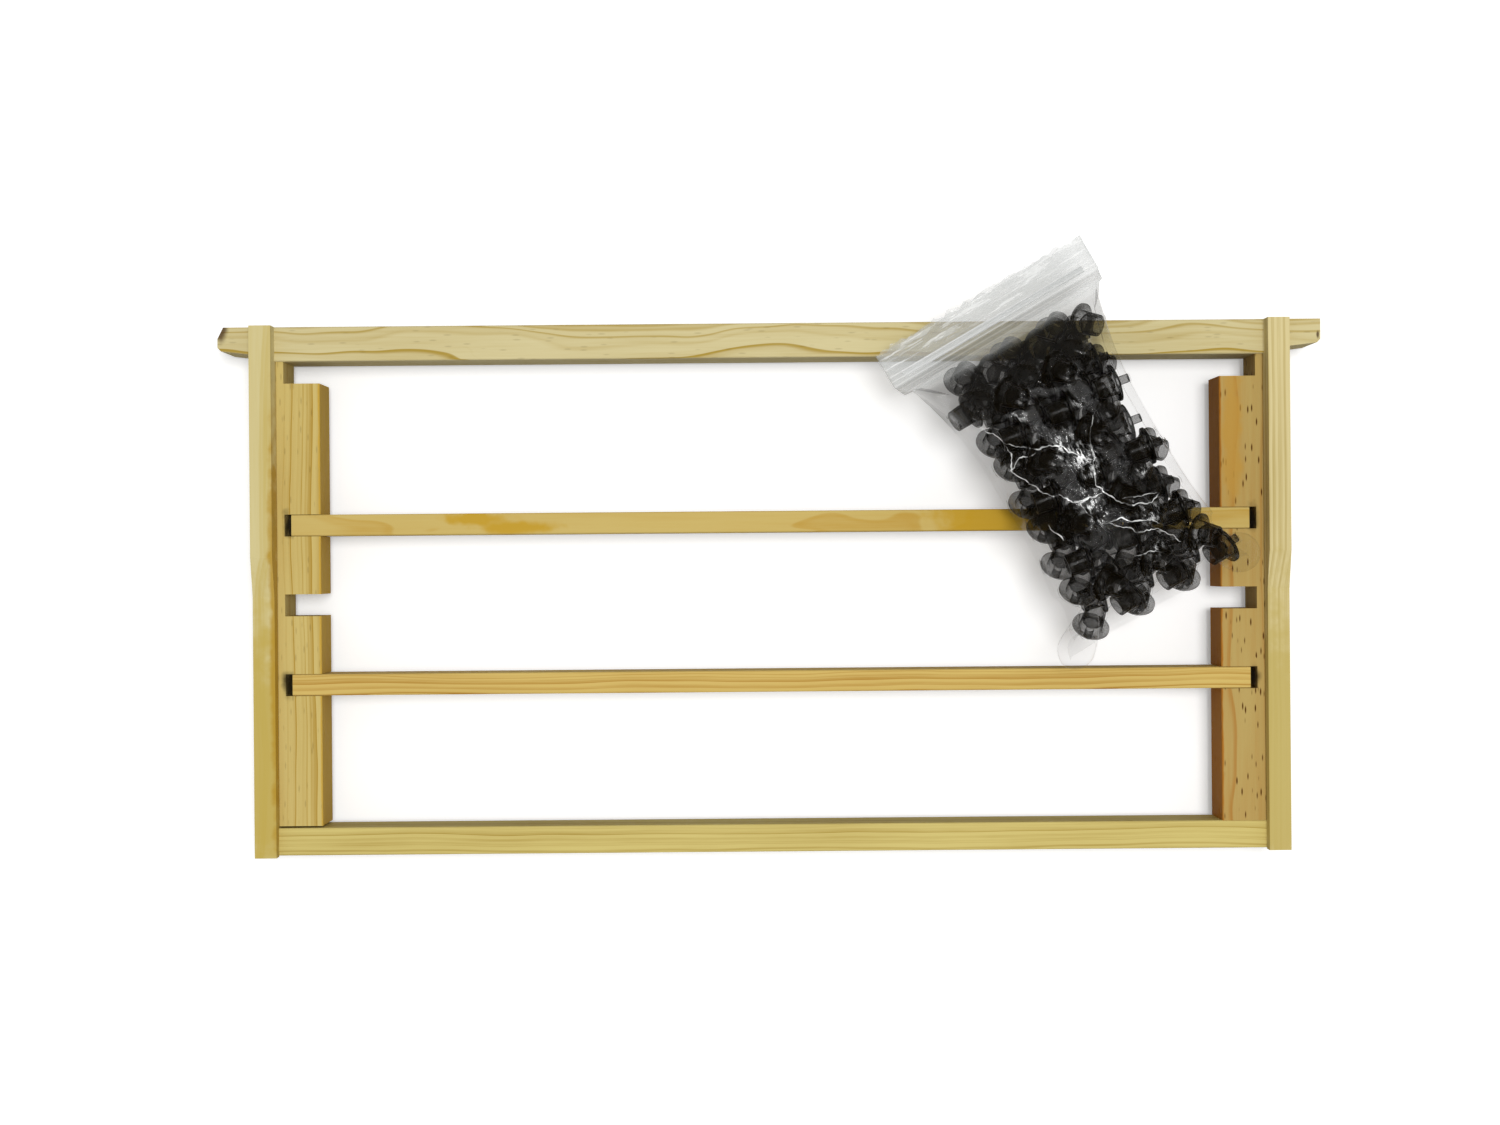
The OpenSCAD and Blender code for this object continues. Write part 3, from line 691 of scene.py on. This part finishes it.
def clear_film():
    """Clear over the cups and milky at the zip and the lip, with painted highlights in white: streaks at the
    zip and the lip, lines along its folds and patches of light.
    """
    material, tree, shader, coordinates = fresh_material("bag_film")
    place = mapped(tree, coordinates["Object"], MM, -BAG_TURN)
    lip, ridge, fold, highlight_patch = (
        add(tree, "Attribute", attribute_name=n).outputs["Fac"] for n in ("lip", "ridge", "fold", "highlight_patch"))
    haze = between(tree, lip, 0.0, HAZE_LEVEL)
    milk = between(tree, lip, HAZE_LEVEL, ZIP_LEVEL)
    loose = between(tree, lip, ZIP_LEVEL, 1.0, 0.25, 1.0)
    # Painted highlights, in white: along the zip's ridges, in streaks along the lip, in patches of light and
    # along the folds
    streaks = clouds(tree, vector_calc(tree, "MULTIPLY", place, (0.06, 0.5, 0.3)), 3.0, 0.6)[0]
    streaks = calc(tree, "MULTIPLY", between(tree, streaks, 0.5, 0.62, 0.0, 0.8), loose)
    painted_highlights = calc(tree, "MULTIPLY", milk, calc(tree, "MAXIMUM", calc(tree, "MULTIPLY", ridge, 0.8), streaks))
    highlight_smear = clouds(tree, vector_calc(tree, "MULTIPLY", place, (0.5, 0.22, 0.3)), 5.0, 0.7)[0]
    highlight_smear = calc(tree, "MULTIPLY", between(tree, highlight_smear, 0.48, 0.62), highlight_patch)
    painted_highlights = calc(tree, "MAXIMUM", painted_highlights, highlight_smear)
    # The folds are raised strips; the white along them is painted highlight, broken here and there
    broken = clouds(tree, vector_calc(tree, "MULTIPLY", place, (0.3, 0.3, 0.3)), 3.0)[0]
    broken = calc(tree, "MULTIPLY", fold, between(tree, broken, 0.36, 0.54, 0.6, 1.0))
    painted_highlights = calc(tree, "MAXIMUM", painted_highlights, broken)
    # Colour and gloss
    edge_on = add(tree, "LayerWeight", 0.3).outputs["Facing"]
    # Pale where the film is seen edge on: painted sheen
    clear = blended(tree, between(tree, edge_on, 0.6, 0.95), colour(30, 28, 24), colour(198, 188, 174))
    film = blended(tree, milk, clear, colour(196, 199, 197))
    feed(shader["Base Color"], blended(tree, painted_highlights, film, colour(250, 251, 249)))
    feed(shader["Roughness"], between(tree, milk, 0.0, 1.0, 0.14, 0.5))
    feed(shader["Coat Weight"], between(tree, milk, 0.0, 1.0, 0.4, 0.05))
    shader["Specular IOR Level"].default_value = 0.3
    shader["Coat Roughness"].default_value = 0.06
    # See-through, less so edge on, in the haze, at the zip and where the highlights are painted white
    alpha = between(tree, edge_on, 0.45, 1.0, 0.05, 0.36)
    alpha = calc(tree, "ADD", alpha, calc(tree, "MULTIPLY", haze, 0.18))
    alpha = calc(tree, "ADD", alpha, calc(tree, "MULTIPLY", milk, 0.1))
    feed(shader["Alpha"], calc(tree, "MAXIMUM", alpha, calc(tree, "MULTIPLY", painted_highlights, 0.7)))
    crumple = placed_group(tree, film_crumple, Place=place, Size=CRUMPLE_SIZE)["Crumple"]
    crumple = calc(tree, "MULTIPLY", crumple, between(tree, milk, 0.0, 1.0, 0.12, 0.5))
    feed(shader["Normal"], bumped(tree, crumple, 0.5, 0.0012))
    return material


bag = make_bag()
bag.data.materials.append(clear_film())


def zip_strip():
    material, tree, shader, coordinates = fresh_material("zip_strip")
    place = mapped(tree, coordinates["Object"], MM, -BAG_TURN)
    drawn = clouds(tree, vector_calc(tree, "MULTIPLY", place, (0.05, 2.0, 2.0)))[0]
    feed(shader["Base Color"], blended(tree, drawn, colour(205, 208, 206), colour(245, 246, 246)))
    feed(shader["Alpha"], between(tree, drawn, 0.3, 0.7, 0.2, 0.5))
    shader["Roughness"].default_value = 0.25
    return material


dress(zip_strip(), "zip_rib_strip", "zip_groove_strip")

# Floor: white paper that keeps the shadow and still shows white to the camera

FLOOR_HALF = 4


def white_paper():
    material, tree, shader, _ = fresh_material("white_paper")
    shader["Roughness"].default_value = 0.9
    shader["Specular IOR Level"].default_value = 0.1
    ray = add(tree, "LightPath").outputs
    seen = calc(tree, "MAXIMUM", ray["Is Glossy Ray"], ray["Is Transmission Ray"])
    seen = calc(tree, "MAXIMUM", ray["Is Camera Ray"], seen)
    feed(shader["Base Color"], blended(tree, seen, (0.2, 0.19, 0.17, 1), (0.98, 0.98, 0.98, 1)))
    shader["Emission Color"].default_value = (1, 1, 1, 1)
    feed(shader["Emission Strength"], calc(tree, "MULTIPLY", seen, 0.24))
    return material


def paper_floor():
    floor = bpy.data.objects.new("paper_floor", bpy.data.meshes.new("paper_floor"))
    bm = bmesh.new()
    bmesh.ops.create_grid(bm, x_segments=1, y_segments=1, size=FLOOR_HALF)
    bm.to_mesh(floor.data)
    bm.free()
    scene.collection.objects.link(floor)
    floor.data.materials.append(white_paper())


paper_floor()

# Light: a white room and one lamp above the right-hand end

world = bpy.data.worlds.new("white_room")
world.use_nodes = True
scene.world = world
sky = next(n for n in world.node_tree.nodes if n.type == "BACKGROUND")
sky.inputs["Color"].default_value = (1, 1, 1, 1)
sky.inputs["Strength"].default_value = 0.5


def lamp(name, place, target, size, power):
    light = bpy.data.lights.new(name, "AREA")
    light.shape = "DISK"
    light.size = size
    light.energy = power
    holder = bpy.data.objects.new(name, light)
    holder.location = place
    holder.rotation_euler = (Vector(target) - Vector(place)).to_track_quat("-Z", "Y").to_euler()
    scene.collection.objects.link(holder)


lamp("key_lamp", (0.25, 0.12, 2.1), (0, 0, 0), size=0.7, power=24)

scene.view_settings.view_transform = "Standard"
scene.cycles.transparent_max_bounces = 48
